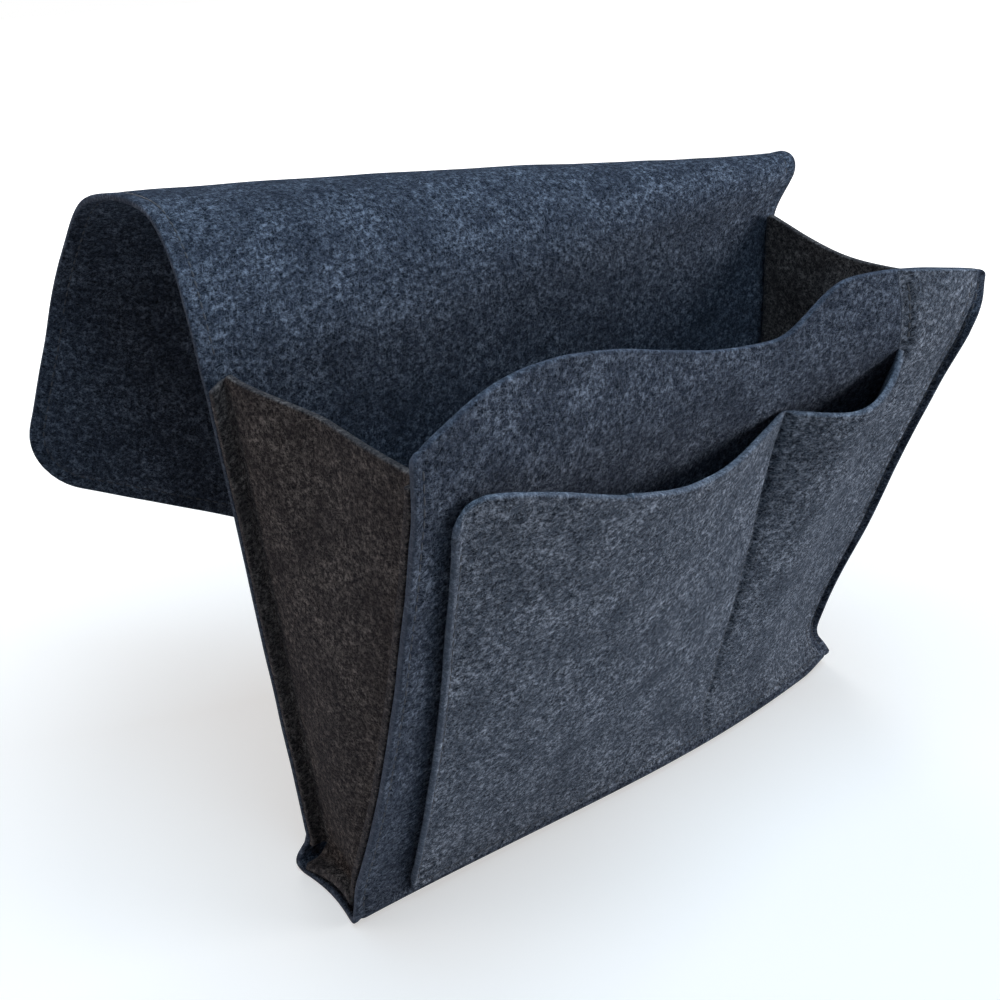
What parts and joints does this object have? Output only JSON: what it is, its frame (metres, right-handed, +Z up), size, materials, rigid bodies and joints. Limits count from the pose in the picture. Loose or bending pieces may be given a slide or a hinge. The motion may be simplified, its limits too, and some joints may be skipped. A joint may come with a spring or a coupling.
{
  "type": "bedside caddy",
  "caption": "Felt bedside caddy: an open pouch with a wavy front edge, sewn-on front pockets and a long flap that folds over a bed edge and tucks in.",
  "frame": {"origin": "on the underside of the base, in the middle of its width and depth", "axes": "+Z up, +X to the right seen from the front, -Y towards the front pockets, +Y towards the bed"},
  "size_m": [0.3512, 0.3114, 0.3067],
  "materials": {
    "felt": "matte melange felt",
    "thread": "matte sewing thread"
  },
  "bodies": {
    "pouch": {"back_panel": "felt", "ridge_bend": "felt", "base_panel": "felt", "left_gusset": "felt", "right_gusset": "felt", "left_back_seam": "thread", "right_back_seam": "thread", "left_base_seam": "thread", "right_base_seam": "thread", "left_ridge_stitch": "thread", "right_ridge_stitch": "thread"},
    "front_wall": {"front_panel": "felt", "pocket_panel": "felt", "left_front_seam": "thread", "right_front_seam": "thread", "pocket_left_seam": "thread", "pocket_divider_seam": "thread", "pocket_right_seam": "thread", "pocket_foot_seam": "thread", "mouth_end_stitch": "thread"},
    "flap": {"tuck_flap": "felt", "flap_stitch": "thread"}
  },
  "joints": [
    {"name": "flap_fold", "type": "hinge", "parent": "pouch", "child": "flap", "pos_m": [0, 0.06381, 0.28352], "axis": [0.9819, -0.1867, -0.0325], "range_deg": [-15, 80], "deforming": ["ridge_bend", "left_ridge_stitch", "right_ridge_stitch"]},
    {"name": "front_fold", "type": "hinge", "parent": "pouch", "child": "front_wall", "pos_m": [0, -0.0215, 0.0062], "axis": [-1, 0, 0], "range_deg": [0, 18], "deforming": ["left_gusset", "right_gusset"]}
  ]
}
